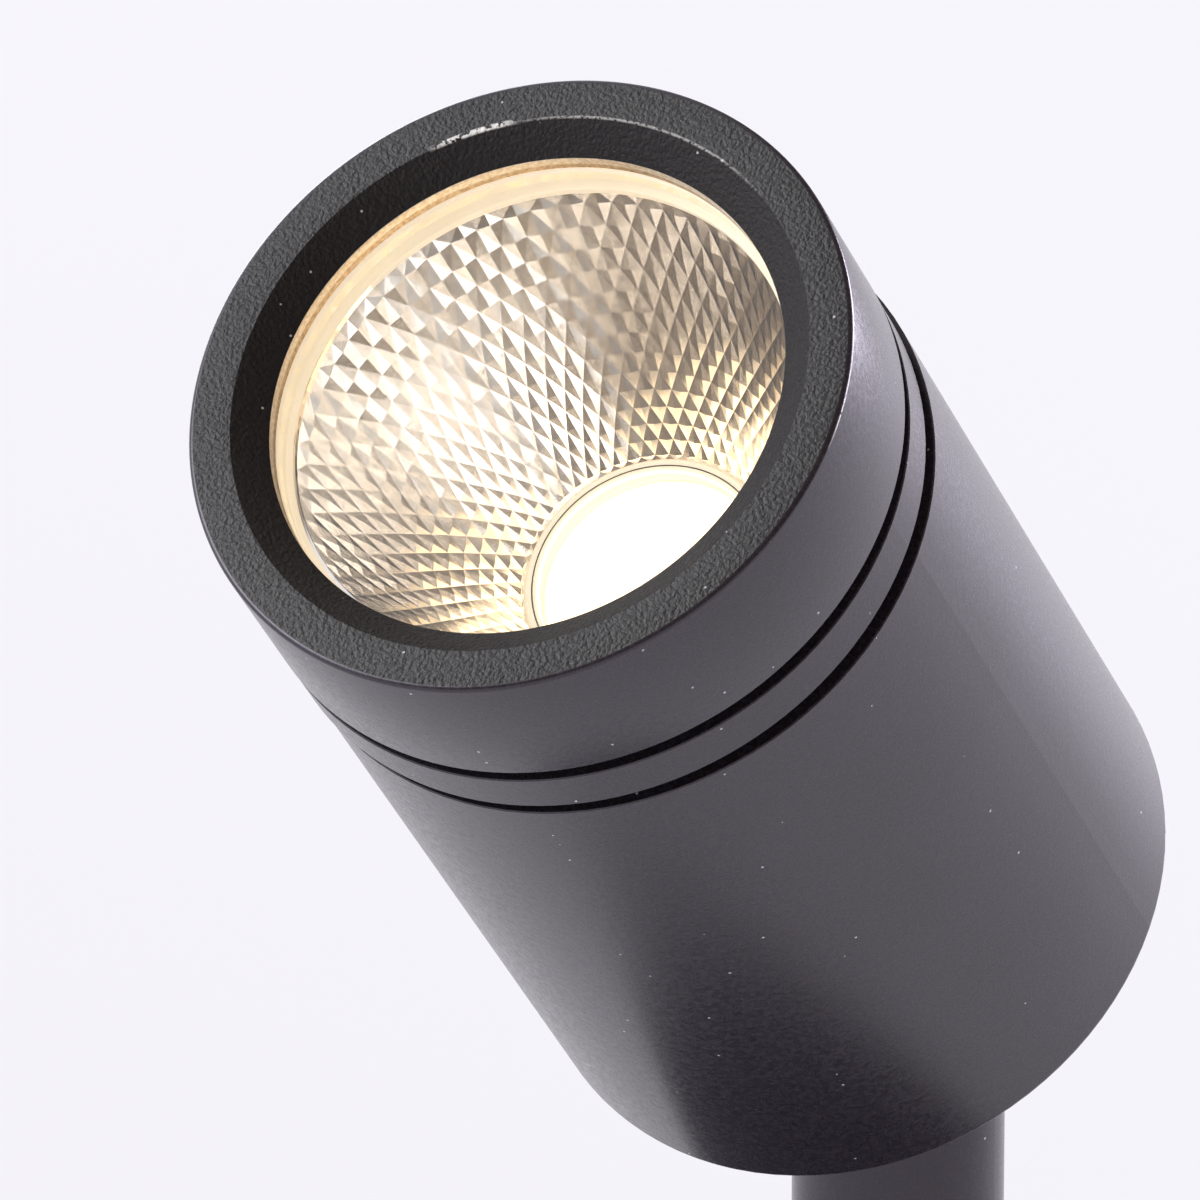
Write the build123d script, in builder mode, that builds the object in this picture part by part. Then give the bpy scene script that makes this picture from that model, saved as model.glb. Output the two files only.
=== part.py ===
import os
from math import cos, radians, sin, sqrt, tan
from build123d import *

# An outdoor wall spotlight. A round base plate and cover hold a short stem, and a
# cylindrical head tilts on a half-lap knuckle at the stem's top. All sizes are in
# millimetres. Z runs out of the wall along the stem, and Z = 0 is the wall.
# Depths in the head are counted from its front face, backwards along the beam.

# Layout
pivot_height = 95.0
rest_tilt = 45.0
stem_radius = 10.1
head_length = 96.2
pivot_setback = 15.4

# Clearances
running_clearance = 0.05
slip_clearance = 0.1
loose_clearance = 0.3
thread_clearance = 0.02

# Front ring, grooves and neck
ring_length = 15.4
front_groove_width = 1.6
spacer_width = 4.8
rear_groove_width = 1.5
neck_step = 2.4
ring_play = 0.33
ring_play_angle = 43.0
spacer_inset = 0.1
groove_seal_height = 0.9
groove_chamfer = 0.12
front_edge_radius = 0.5
rear_edge_radius = 0.8
bevel_width = 2.96
bevel_depth = 2.2
aperture_margin = 0.54
lip_thickness = 1.7

# Glass and its seal
glass_overlap = 0.96
glass_thickness = 2.0
seal_front_leg = 0.7
seal_rear_leg = 0.8
seal_wall = 1.5

# Reflector
reflector_flange = 1.0
reflector_flange_inset = 0.6
reflector_collar = 0.6
reflector_mouth_radius = 23.5
reflector_throat_radius = 11.6
reflector_depth = 28.5
reflector_wall = 1.0
reflector_gap = 2.1

# Light source
holder_height = 4.0
holder_radius = 19.0
holder_opening = 11.0
holder_screw_radius = 1.25
holder_screw_ring = 16.4
holder_screw_length = 7.0
holder_screw_head_radius = 2.2
holder_screw_head_height = 1.2
holder_notch_width = 5.0
holder_edge = 0.8
board_radius = 14.0
board_thickness = 1.0
emitter_radius = 10.4
emitter_thickness = 0.8
emitter_edge = 0.2
pad_thickness = 0.5

# Heat spreader and its retaining ring
spreader_thickness = 7.0
retainer_thickness = 1.4
retainer_width = 2.2
retainer_bite = 0.8
retainer_gap_angle = 15.0
retainer_ear_angle = 20.0
retainer_ear_radius = 2.2
retainer_ear_hole = 0.8

# Barrel
barrel_wall = 4.4
spreader_ledge = 1.2
rear_wall = 3.5

# Driver
sleeve_wall = 1.0
sleeve_end_wall = 1.2
circuit_offset = 9.0
circuit_thickness = 1.6
circuit_end_gap = 2.4
transformer_width = 15.0
transformer_height = 12.0
transformer_share = 0.415
transformer_corner = 2.2
transformer_edge = 1.2
component_setback = 11.2
component_end_gap = 8.8
capacitor_radius = 5.0
capacitor_edge = 0.8
capacitor_share = 0.575
chip_width = 7.0
chip_height = 2.2
chip_length = 5.0
chip_setback = 5.0
chip_pitch = 21.0
chip_count = 2

# Wires and cables
lead_radius = 0.7
lead_spacing = 2.6
lead_edge_gap = 3.3
lead_hole_radius = 2.9
lead_bend = 3.0
cable_radius = 1.7
cable_hole_radius = 2.1
head_cable_bend = 9.0
head_cable_run = 8.0
head_cable_rise = 11.0
head_cable_lead = 2.2
stem_cable_bend = 20.0
stem_cable_lead = 6.0
stem_cable_run = 12.0
base_cable_bend = 6.0

# Knuckle
knuckle_gap = 0.3
knuckle_radius = 9.9
knuckle_width = 9.3
knuckle_reach = 11.2
knuckle_edge = 1.2
boss_radius = 4.0
cavity_radius = 8.0
cavity_depth = 5.4
cable_shift = 2.9
pivot_screw_radius = 2.5
pivot_head_radius = 4.3
pivot_head_height = 1.9
pivot_screw_bite = 7.0
pivot_socket_size = 2.8
pivot_socket_depth = 1.1
pivot_washer_thickness = 0.5
counterbore_depth = 2.6
joint_seal_inner = 8.5
joint_seal_outer = 9.5
joint_seal_depth = 0.9
knuckle_flange_radius = 13.0
knuckle_seal_thickness = 1.0
knuckle_seal_radius = 12.4
spigot_radius = 7.0
spigot_length = 10.0
knuckle_nut_width = 19.0
knuckle_nut_height = 4.5

# Stem
stem_wall = 1.6
collar_height = 3.0
plug_length = 11.0
set_screw_radius = 1.5
set_screw_length = 4.5
set_screw_drop = 6.0
set_screw_sink = 0.3
set_screw_socket = 1.5
foot_radius = 13.0
foot_height = 4.0
foot_edge = 0.8
foot_plug_length = 10.0
shank_radius = 6.0
shank_bore = 4.2
shank_length = 13.0
swivel_seal_inner = 8.0
swivel_seal_outer = 9.4
swivel_seal_depth = 1.0
friction_washer_radius = 11.0
friction_washer_thickness = 1.0
stop_washer_radius = 9.0
stop_washer_thickness = 1.0
stop_lug_reach = 14.0
stop_lug_width = 3.0
swivel_nut_width = 18.0
swivel_nut_height = 6.0

# Base
canopy_radius = 45.0
canopy_wall = 2.0
canopy_top = 30.0
canopy_top_wall = 3.0
canopy_edge_radius = 3.0
gasket_thickness = 1.5
plate_radius = 38.0
plate_thickness = 2.0
plate_tab_width = 14.0
plate_tab_height = 14.0
plate_tab_gap = 0.5
entry_radius = 11.0
wall_hole_radius = 2.25
wall_hole_spacing = 60.0
side_screw_radius = 2.0
side_screw_length = 5.0
side_screw_height = 9.0
side_screw_sink = 0.4
side_screw_socket = 2.0
side_screw_socket_depth = 2.0
stop_pin_radius = 1.0
stop_pin_ring = 12.5
stop_pin_length = 6.0
stop_pin_grip = 2.0
grommet_bore = 8.0
grommet_flange_radius = 12.5
grommet_flange_height = 1.5
grommet_lift = 0.3
terminal_length = 14.0
terminal_width = 18.0
terminal_height = 12.0
terminal_start = 16.0
terminal_pitch = 5.5
terminal_poles = 3
terminal_edge = 0.8
terminal_screw_radius = 1.5
terminal_screw_depth = 3.5
terminal_screw_sink = 0.8
terminal_wire_radius = 1.4
terminal_wire_depth = 5.0
terminal_wire_height = 4.0
slot_width = 0.6
slot_depth = 0.6
base_cable_height = 9.0
earth_screw_radius = 2.0
earth_head_radius = 3.6
earth_head_height = 2.2
earth_head_edge = 0.7
earth_screw_x = -22.0
earth_screw_y = 16.0
earth_washer_radius = 4.5
earth_washer_thickness = 0.8

# Worked-out radii in the head: the opening, glass, bore and outside follow the reflector
aperture_radius = reflector_mouth_radius + aperture_margin
bevel_mouth_radius = aperture_radius + bevel_width
glass_radius = aperture_radius + glass_overlap
seal_outer = glass_radius + slip_clearance + seal_wall
barrel_bore = reflector_mouth_radius + reflector_wall + reflector_gap
rear_bore = barrel_bore - spreader_ledge
head_radius = barrel_bore + barrel_wall
neck_radius = head_radius - neck_step
neck_bore_of_ring = neck_radius + ring_play + thread_clearance
reflector_flange_radius = neck_radius - reflector_flange_inset
sleeve_outer = rear_bore - slip_clearance
sleeve_bore = sleeve_outer - sleeve_wall
lead_offset = sleeve_bore - lead_edge_gap

# Worked-out places in the head, as depths behind the front face
front_reach = pivot_setback + head_length
lip_depth = bevel_depth + lip_thickness
seal_depth = seal_front_leg + glass_thickness + seal_rear_leg
flange_depth = lip_depth + seal_depth
neck_start = flange_depth + reflector_flange
spacer_start = ring_length + front_groove_width
spacer_end = spacer_start + spacer_width
barrel_start = spacer_end + rear_groove_width
mouth_depth = flange_depth + reflector_collar
throat_depth = mouth_depth + reflector_depth
spreader_front = throat_depth + holder_height
spreader_rear = spreader_front + spreader_thickness
rear_inside = head_length - rear_wall
board_front = spreader_front - pad_thickness - board_thickness
knuckle_seat = pivot_setback - knuckle_seal_thickness
spigot_end = front_reach - knuckle_seat - spigot_length
sleeve_inside = spreader_rear + sleeve_end_wall
circuit_front = sleeve_inside + slip_clearance
circuit_end = spigot_end - circuit_end_gap
component_start = circuit_front + component_setback
component_length = circuit_end - component_end_gap - component_start
channel_radius = (boss_radius + cavity_radius) / 2

# Worked-out places in the stem and the base, as heights above the wall
stem_shoulder = pivot_height - knuckle_reach
tube_top = stem_shoulder - collar_height
foot_bottom = canopy_top + loose_clearance
tube_bottom = foot_bottom + foot_height
tube_bore = stem_radius - stem_wall
canopy_underside = canopy_top - canopy_top_wall
friction_washer_top = canopy_underside - slip_clearance
stop_washer_top = friction_washer_top - friction_washer_thickness
swivel_nut_top = stop_washer_top - stop_washer_thickness
shank_end = foot_bottom - shank_length
canopy_bore = canopy_radius - canopy_wall
set_screw_height = tube_top - set_screw_drop

# The beam's direction, the direction square to it that points down, and the planes
tilt = radians(rest_tilt)
pivot = Vector(0, 0, pivot_height)
beam = Vector(0, -sin(tilt), cos(tilt))
down = Vector(0, -cos(tilt), -sin(tilt))
side = Vector(1, 0, 0)
head_plane = Plane(origin=pivot, x_dir=side, z_dir=beam)
head_section = Plane(origin=pivot, x_dir=side, z_dir=down)
head_axis = Axis(pivot, beam)
stem_section = Plane.XZ
tilt_plane = Plane(origin=pivot, x_dir=(0, 1, 0), z_dir=side)

# The front ring hangs off centre by its play on the neck, and carries seal and glass.
ring_drop = ring_play * cos(radians(ring_play_angle))
ring_shift = ring_play * sin(radians(ring_play_angle))
ring_offset = down * ring_drop - side * ring_shift
ring_section = Plane(origin=pivot + ring_offset, x_dir=side, z_dir=down)
ring_axis = Axis(pivot + ring_offset, beam)

os.makedirs("parts", exist_ok=True)


def reach(depth):
    """The distance from the pivot of a place at this depth behind the front face."""
    return front_reach - depth


def save(part, name):
    """Name a finished piece and write it out."""
    part.label = name
    export_step(part, f"parts/{name}.step")


def outline(plane, points):
    """A flat face with straight sides on the plane."""
    with BuildSketch(plane) as face:
        with BuildLine():
            Polyline(*points, close=True)
        make_face()
    return face.sketch


def band(plane, inner, outer, low, high):
    """The half section of a plain ring, from one radius to another."""
    return outline(plane, [(inner, low), (outer, low), (outer, high), (inner, high)])


def head_ring(inner, outer, front, back):
    """The half section of a plain ring about the beam, between two depths."""
    return band(head_section, inner, outer, reach(back), reach(front))


def stem_ring(inner, outer, low, high):
    """The half section of a plain ring about the stem, between two heights."""
    return band(stem_section, inner, outer, low, high)


def tube_along(points, bends, radius):
    """A round wire along straight runs with rounded corners."""
    with BuildPart() as wire:
        with BuildLine() as route:
            FilletPolyline(*points, radius=bends)
        with BuildSketch(Plane(origin=route.line @ 0, z_dir=route.line % 0)):
            Circle(radius)
        sweep(path=route.line)
    return wire.part


def in_head(x, y, depth):
    """A point of the head from its sideways, upward and depth places."""
    return pivot + side * x - down * y + beam * reach(depth)


# Front ring: turned, with a flat face, a bevel, a lip and a bore for the neck
with BuildPart() as front_ring:
    with BuildSketch(ring_section):
        with BuildLine():
            Polyline(
                (bevel_mouth_radius, reach(0)),
                (head_radius, reach(0)),
                (head_radius, reach(ring_length)),
                (neck_bore_of_ring, reach(ring_length)),
                (neck_bore_of_ring, reach(flange_depth)),
                (seal_outer + running_clearance, reach(flange_depth)),
                (seal_outer + running_clearance, reach(lip_depth)),
                (aperture_radius, reach(lip_depth)),
                (aperture_radius, reach(bevel_depth)),
                close=True,
            )
        make_face()
    revolve(axis=ring_axis)
    outer_edges = front_ring.edges().filter_by(GeomType.CIRCLE).group_by(lambda e: e.radius)[-1]
    fillet(outer_edges.sort_by(ring_axis)[-1], front_edge_radius)
    outer_edges = front_ring.edges().filter_by(GeomType.CIRCLE).group_by(lambda e: e.radius)[-1]
    chamfer(outer_edges.sort_by(ring_axis)[0], groove_chamfer)
save(front_ring.part, "front_ring")

# Glass seal: a U-section ring that wraps the glass's edge
with BuildPart() as glass_seal:
    with BuildSketch(ring_section):
        with BuildLine():
            Polyline(
                (aperture_radius, reach(lip_depth)),
                (seal_outer, reach(lip_depth)),
                (seal_outer, reach(flange_depth)),
                (aperture_radius, reach(flange_depth)),
                (aperture_radius, reach(flange_depth - seal_rear_leg)),
                (seal_outer - seal_wall, reach(flange_depth - seal_rear_leg)),
                (seal_outer - seal_wall, reach(lip_depth + seal_front_leg)),
                (aperture_radius, reach(lip_depth + seal_front_leg)),
                close=True,
            )
        make_face()
    revolve(axis=ring_axis)
save(glass_seal.part, "glass_seal")

# Cover glass: a plain round pane
with BuildPart() as cover_glass:
    glass_front = reach(lip_depth + seal_front_leg)
    with BuildSketch(ring_section):
        with Locations((glass_radius / 2, glass_front - glass_thickness / 2)):
            Rectangle(glass_radius, glass_thickness)
    revolve(axis=ring_axis)
save(cover_glass.part, "cover_glass")

# Reflector: a thin parabola of revolution, whose square of the radius falls evenly
# with depth, so one quadratic curve draws each wall exactly
parabola_rate = (reflector_mouth_radius**2 - reflector_throat_radius**2) / reflector_depth
middle_radius = (reflector_mouth_radius + reflector_throat_radius) / 2
radius_drop = reflector_mouth_radius - reflector_throat_radius
middle_depth = mouth_depth + reflector_mouth_radius * radius_drop / parabola_rate
inner_mouth = (reflector_mouth_radius, reach(mouth_depth))
inner_middle = (middle_radius, reach(middle_depth))
inner_throat = (reflector_throat_radius, reach(throat_depth))
outer_mouth = (reflector_mouth_radius + reflector_wall, reach(neck_start))
outer_middle = (middle_radius + reflector_wall, reach(middle_depth))
outer_throat = (reflector_throat_radius + reflector_wall, reach(throat_depth))
with BuildPart() as reflector:
    with BuildSketch(head_section):
        with BuildLine():
            Bezier(inner_mouth, inner_middle, inner_throat)
            Line(inner_throat, outer_throat)
            Bezier(outer_throat, outer_middle, outer_mouth)
            Polyline(
                outer_mouth,
                (reflector_flange_radius, reach(neck_start)),
                (reflector_flange_radius, reach(flange_depth)),
                (reflector_mouth_radius, reach(flange_depth)),
                inner_mouth,
            )
        make_face()
    revolve(axis=head_axis)
save(reflector.part, "reflector")

# Holder ring: clamps the light board, with a notch for the two leads
with BuildPart() as led_holder:
    revolve(head_ring(holder_opening, holder_radius, throat_depth, spreader_front), axis=head_axis)
    revolve(
        head_ring(0, board_radius + slip_clearance, board_front, spreader_front),
        axis=head_axis,
        mode=Mode.SUBTRACT,
    )
    notch_start = board_radius - slip_clearance
    with BuildSketch(head_plane.offset(reach(throat_depth))):
        with Locations((0, (notch_start + holder_radius) / 2 + slip_clearance)):
            Rectangle(holder_notch_width, holder_radius - notch_start + 2 * slip_clearance)
    extrude(amount=-holder_height, mode=Mode.SUBTRACT)
    with BuildSketch(head_plane.offset(reach(throat_depth))):
        with PolarLocations(holder_screw_ring, 2):
            Circle(holder_screw_radius + slip_clearance)
    extrude(amount=-holder_height, mode=Mode.SUBTRACT)
    outer_edges = led_holder.edges().filter_by(GeomType.CIRCLE).group_by(lambda e: e.radius)[-1]
    chamfer(outer_edges.group_by(head_axis)[-1], holder_edge)
save(led_holder.part, "led_holder")

# Holder screws: two cross-head screws into the spreader
holder_seat = reach(throat_depth)
with BuildPart() as holder_screws:
    with BuildSketch(head_plane.offset(holder_seat)):
        with PolarLocations(holder_screw_ring, 2):
            Circle(holder_screw_radius)
    extrude(amount=-holder_screw_length)
    with BuildSketch(head_plane.offset(holder_seat)):
        with PolarLocations(holder_screw_ring, 2):
            Circle(holder_screw_head_radius)
    extrude(amount=holder_screw_head_height)
    with BuildSketch(head_plane.offset(holder_seat + holder_screw_head_height)):
        with PolarLocations(holder_screw_ring, 2):
            Rectangle(2 * holder_screw_radius, slot_width)
            Rectangle(slot_width, 2 * holder_screw_radius)
    extrude(amount=-slot_depth, mode=Mode.SUBTRACT)
save(holder_screws.part, "holder_screws")

# Light board and the round emitter on it
with BuildPart() as led_board:
    with BuildSketch(head_plane.offset(reach(board_front))):
        Circle(board_radius)
    extrude(amount=-board_thickness)
save(led_board.part, "led_board")

with BuildPart() as led_emitter:
    with BuildSketch(head_plane.offset(reach(board_front))):
        Circle(emitter_radius)
    extrude(amount=emitter_thickness)
    fillet(led_emitter.edges().sort_by(head_axis)[-1], emitter_edge)
save(led_emitter.part, "led_emitter")

# Thermal pad under the board
with BuildPart() as thermal_pad:
    with BuildSketch(head_plane.offset(reach(spreader_front))):
        Circle(board_radius)
    extrude(amount=pad_thickness)
save(thermal_pad.part, "thermal_pad")

# Heat spreader: a thick plate on the barrel's shoulder, drilled for screws and leads
with BuildPart() as heat_spreader:
    with BuildSketch(head_plane.offset(reach(spreader_front))):
        Circle(barrel_bore - slip_clearance)
        with PolarLocations(holder_screw_ring, 2):
            Circle(holder_screw_radius + thread_clearance, mode=Mode.SUBTRACT)
        with Locations((0, lead_offset)):
            Circle(lead_hole_radius, mode=Mode.SUBTRACT)
    extrude(amount=-spreader_thickness)
save(heat_spreader.part, "heat_spreader")

# Retaining ring: a flat snap ring in a groove of the barrel, open on the lower side
retainer_front = spreader_front - retainer_thickness
retainer_outer = barrel_bore + retainer_bite - slip_clearance
retainer_inner = barrel_bore - retainer_width
ear_shift = retainer_inner * sin(radians(retainer_ear_angle))
ear_drop = retainer_inner * cos(radians(retainer_ear_angle))
gap_reach = retainer_outer + retainer_ear_radius
gap_half = gap_reach * tan(radians(retainer_gap_angle))
with BuildPart() as spreader_retainer:
    with BuildSketch(head_plane.offset(reach(retainer_front))):
        Circle(retainer_outer)
        Circle(retainer_inner, mode=Mode.SUBTRACT)
        with Locations((-ear_shift, -ear_drop), (ear_shift, -ear_drop)):
            Circle(retainer_ear_radius)
        with BuildLine():
            Polyline((0, 0), (-gap_half, -gap_reach), (gap_half, -gap_reach), close=True)
        make_face(mode=Mode.SUBTRACT)
        with Locations((-ear_shift, -ear_drop), (ear_shift, -ear_drop)):
            Circle(retainer_ear_hole, mode=Mode.SUBTRACT)
    extrude(amount=-retainer_thickness)
save(spreader_retainer.part, "spreader_retainer")

# Spacer ring between the two grooves, and the rubber seals on the grooves' floors. The
# spacer has the front ring's bore, and lies to the same side of the neck.
with BuildPart() as spacer_ring:
    with BuildSketch(ring_section):
        with BuildLine():
            Polyline(
                (neck_bore_of_ring, reach(spacer_start)),
                (head_radius - spacer_inset, reach(spacer_start)),
                (head_radius - spacer_inset, reach(spacer_end)),
                (neck_bore_of_ring, reach(spacer_end)),
                close=True,
            )
        make_face()
    revolve(axis=ring_axis)
    rims = spacer_ring.edges().filter_by(GeomType.CIRCLE).group_by(lambda e: e.radius)[-1]
    chamfer(rims, groove_chamfer)
save(spacer_ring.part, "spacer_ring")

groove_seal_outer = neck_radius + groove_seal_height
groove_seals = {
    "front_groove_seal": (ring_length, spacer_start),
    "rear_groove_seal": (spacer_end, barrel_start),
}
for seal_name, (seal_front, seal_back) in groove_seals.items():
    with BuildPart() as groove_seal:
        seal_face = head_ring(neck_radius + running_clearance, groove_seal_outer, seal_front, seal_back)
        revolve(seal_face, axis=head_axis)
    save(groove_seal.part, seal_name)

# Barrel: a thick cup with a narrow neck in front and a shoulder for the spreader
with BuildPart() as barrel:
    with BuildSketch(head_section):
        with BuildLine():
            Polyline(
                (barrel_bore, reach(neck_start)),
                (neck_radius, reach(neck_start)),
                (neck_radius, reach(barrel_start)),
                (head_radius, reach(barrel_start)),
                (head_radius, reach(head_length)),
                (spigot_radius + slip_clearance, reach(head_length)),
                (spigot_radius + slip_clearance, reach(rear_inside)),
                (rear_bore, reach(rear_inside)),
                (rear_bore, reach(spreader_rear)),
                (barrel_bore, reach(spreader_rear)),
                (barrel_bore, reach(spreader_front)),
                (barrel_bore + retainer_bite, reach(spreader_front)),
                (barrel_bore + retainer_bite, reach(retainer_front)),
                (barrel_bore, reach(retainer_front)),
                close=True,
            )
        make_face()
    revolve(axis=head_axis)
    outer_edges = barrel.edges().filter_by(GeomType.CIRCLE).group_by(lambda e: e.radius)[-1]
    fillet(outer_edges.sort_by(head_axis)[0], rear_edge_radius)
    outer_edges = barrel.edges().filter_by(GeomType.CIRCLE).group_by(lambda e: e.radius)[-1]
    chamfer(outer_edges.sort_by(head_axis)[-1], groove_chamfer)
save(barrel.part, "barrel")

# Driver sleeve: an insulating cup behind the spreader, open to the rear
with BuildPart() as driver_sleeve:
    revolve(head_ring(0, sleeve_outer, spreader_rear, rear_inside - slip_clearance), axis=head_axis)
    revolve(head_ring(0, sleeve_bore, sleeve_inside, rear_inside), axis=head_axis, mode=Mode.SUBTRACT)
    with BuildSketch(head_plane.offset(reach(spreader_rear))):
        with Locations((0, lead_offset)):
            Circle(lead_hole_radius)
    extrude(amount=-sleeve_end_wall, mode=Mode.SUBTRACT)
save(driver_sleeve.part, "driver_sleeve")

# Driver circuit: a board across the sleeve, with its parts on the upper side
circuit_length = circuit_end - circuit_front
circuit_half = sqrt(sleeve_bore**2 - (circuit_offset + circuit_thickness) ** 2) - slip_clearance
transformer_shift = transformer_share * circuit_half
capacitor_shift = capacitor_share * circuit_half
circuit_plane = Plane(origin=in_head(0, -circuit_offset, circuit_front), x_dir=side, z_dir=down * -1)
with BuildPart() as driver_circuit:
    with BuildSketch(circuit_plane):
        with Locations((0, circuit_length / 2)):
            RectangleRounded(2 * circuit_half, circuit_length, circuit_thickness)
    extrude(amount=-circuit_thickness)
save(driver_circuit.part, "driver_circuit")

with BuildPart() as driver_transformer:
    with BuildSketch(circuit_plane):
        with Locations((-transformer_shift, component_setback + component_length / 2)):
            RectangleRounded(transformer_width, component_length, transformer_corner)
    extrude(amount=transformer_height)
    fillet(driver_transformer.faces().sort_by(Axis(pivot, down))[0].edges(), transformer_edge)
save(driver_transformer.part, "driver_transformer")

with BuildPart() as driver_capacitor:
    can_centre = in_head(capacitor_shift, capacitor_radius - circuit_offset, component_start)
    with BuildSketch(Plane(origin=can_centre, x_dir=side, z_dir=beam)):
        Circle(capacitor_radius)
    extrude(amount=-component_length)
    fillet(driver_capacitor.edges().filter_by(GeomType.CIRCLE), capacitor_edge)
save(driver_capacitor.part, "driver_capacitor")

with BuildPart() as driver_chips:
    with BuildSketch(circuit_plane):
        for chip in range(chip_count):
            with Locations((capacitor_shift - chip * chip_pitch, chip_setback)):
                Rectangle(chip_width, chip_length)
    extrude(amount=chip_height)
save(driver_chips.part, "driver_chips")

# Leads from the light board to the driver: out through the holder's notch, back
# through the spreader and down to the circuit
lead_height = board_front + board_thickness / 2
lead_drop = circuit_front + lead_hole_radius + lead_bend
for lead_name, lead_side in {"led_lead_positive": 1, "led_lead_negative": -1}.items():
    lead_x = lead_side * lead_spacing / 2
    board_edge = sqrt(board_radius**2 - lead_x**2) + running_clearance
    lead_points = [
        in_head(lead_x, board_edge, lead_height),
        in_head(lead_x, lead_offset, lead_height),
        in_head(lead_x, lead_offset, lead_drop),
        in_head(lead_x, running_clearance - circuit_offset, lead_drop),
    ]
    save(tube_along(lead_points, lead_bend, lead_radius), lead_name)

# Knuckle, head half: a hollow disc beside the joint plane, a flange on the barrel's
# rear wall and a threaded spigot through it
neck_width = knuckle_width - knuckle_edge - knuckle_gap / 2
neck_middle = (knuckle_width - knuckle_edge + knuckle_gap / 2) / 2
with BuildPart() as head_knuckle:
    with BuildSketch(tilt_plane.offset(knuckle_gap / 2)):
        Circle(knuckle_radius)
    extrude(amount=knuckle_width - knuckle_gap / 2)
    chamfer(head_knuckle.edges().sort_by(Axis.X)[-1], knuckle_edge)
    with BuildSketch(head_plane):
        Circle(stem_radius)
        with Locations((neck_middle, 0)):
            Rectangle(neck_width, 2 * stem_radius, mode=Mode.INTERSECT)
    extrude(amount=knuckle_reach)
    with BuildSketch(head_plane.offset(knuckle_reach)):
        Circle(knuckle_flange_radius)
    extrude(amount=knuckle_seat - knuckle_reach)
    with BuildSketch(head_plane.offset(knuckle_seat)):
        Circle(spigot_radius)
    extrude(amount=spigot_length)
    with BuildSketch(tilt_plane.offset(knuckle_gap / 2)):
        Circle(cavity_radius)
        Circle(boss_radius, mode=Mode.SUBTRACT)
    extrude(amount=cavity_depth, mode=Mode.SUBTRACT)
    with BuildSketch(tilt_plane):
        Circle(pivot_screw_radius + running_clearance)
    extrude(amount=knuckle_width, mode=Mode.SUBTRACT)
    with BuildSketch(tilt_plane.offset(knuckle_width)):
        Circle(pivot_head_radius + loose_clearance)
    extrude(amount=-counterbore_depth, mode=Mode.SUBTRACT)
    with BuildSketch(head_plane.offset(channel_radius)):
        with Locations((cable_shift, 0)):
            Circle(cable_hole_radius)
    extrude(amount=knuckle_seat + spigot_length, mode=Mode.SUBTRACT)
save(head_knuckle.part, "head_knuckle")

# Flat seal between the knuckle's flange and the barrel, and the nut inside
with BuildPart() as knuckle_seal:
    seal_face = band(
        head_section,
        spigot_radius + slip_clearance,
        knuckle_seal_radius,
        knuckle_seat,
        pivot_setback,
    )
    revolve(seal_face, axis=head_axis)
save(knuckle_seal.part, "knuckle_seal")

with BuildPart() as knuckle_nut:
    with BuildSketch(head_plane.offset(reach(rear_inside))):
        RegularPolygon(knuckle_nut_width / 2, 6, major_radius=False)
        Circle(spigot_radius + thread_clearance, mode=Mode.SUBTRACT)
    extrude(amount=knuckle_nut_height)
save(knuckle_nut.part, "knuckle_nut")

# Knuckle, stem half: the mirror of the disc, a round collar and a plug for the tube
with BuildPart() as stem_knuckle:
    with BuildSketch(tilt_plane.offset(-knuckle_gap / 2)):
        Circle(knuckle_radius)
    extrude(amount=knuckle_gap / 2 - knuckle_width)
    chamfer(stem_knuckle.edges().sort_by(Axis.X)[0], knuckle_edge)
    with BuildSketch(Plane.XY.offset(stem_shoulder)):
        Circle(stem_radius)
        with Locations((-neck_middle, 0)):
            Rectangle(neck_width, 2 * stem_radius, mode=Mode.INTERSECT)
    extrude(amount=knuckle_reach)
    with BuildSketch(Plane.XY.offset(tube_top)):
        Circle(stem_radius)
    extrude(amount=collar_height)
    with BuildSketch(Plane.XY.offset(tube_top)):
        Circle(tube_bore - running_clearance)
    extrude(amount=-plug_length)
    with BuildSketch(tilt_plane.offset(-knuckle_gap / 2)):
        Circle(cavity_radius)
        Circle(boss_radius, mode=Mode.SUBTRACT)
    extrude(amount=-cavity_depth, mode=Mode.SUBTRACT)
    with BuildSketch(tilt_plane.offset(-knuckle_gap / 2)):
        Circle(joint_seal_outer)
        Circle(joint_seal_inner, mode=Mode.SUBTRACT)
    extrude(amount=-joint_seal_depth, mode=Mode.SUBTRACT)
    with BuildSketch(tilt_plane):
        Circle(pivot_screw_radius + thread_clearance)
    extrude(amount=-(pivot_screw_bite + slip_clearance), mode=Mode.SUBTRACT)
    with BuildSketch(Plane.XY.offset(pivot_height - channel_radius)):
        with Locations((-cable_shift, 0)):
            Circle(cable_hole_radius)
    extrude(amount=tube_top - plug_length - pivot_height, mode=Mode.SUBTRACT)
    with BuildSketch(Plane.XZ.offset(-tube_bore)):
        with Locations((0, set_screw_height)):
            Circle(set_screw_radius + thread_clearance)
    extrude(amount=set_screw_length, mode=Mode.SUBTRACT)
save(stem_knuckle.part, "stem_knuckle")

# Joint seal: a ring in the stem half's face that nearly meets the head half
with BuildPart() as joint_seal:
    with BuildSketch(tilt_plane.offset(-knuckle_gap / 2 - joint_seal_depth)):
        Circle(joint_seal_outer - running_clearance)
        Circle(joint_seal_inner + running_clearance, mode=Mode.SUBTRACT)
    extrude(amount=joint_seal_depth + knuckle_gap - slip_clearance)
save(joint_seal.part, "joint_seal")

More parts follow.
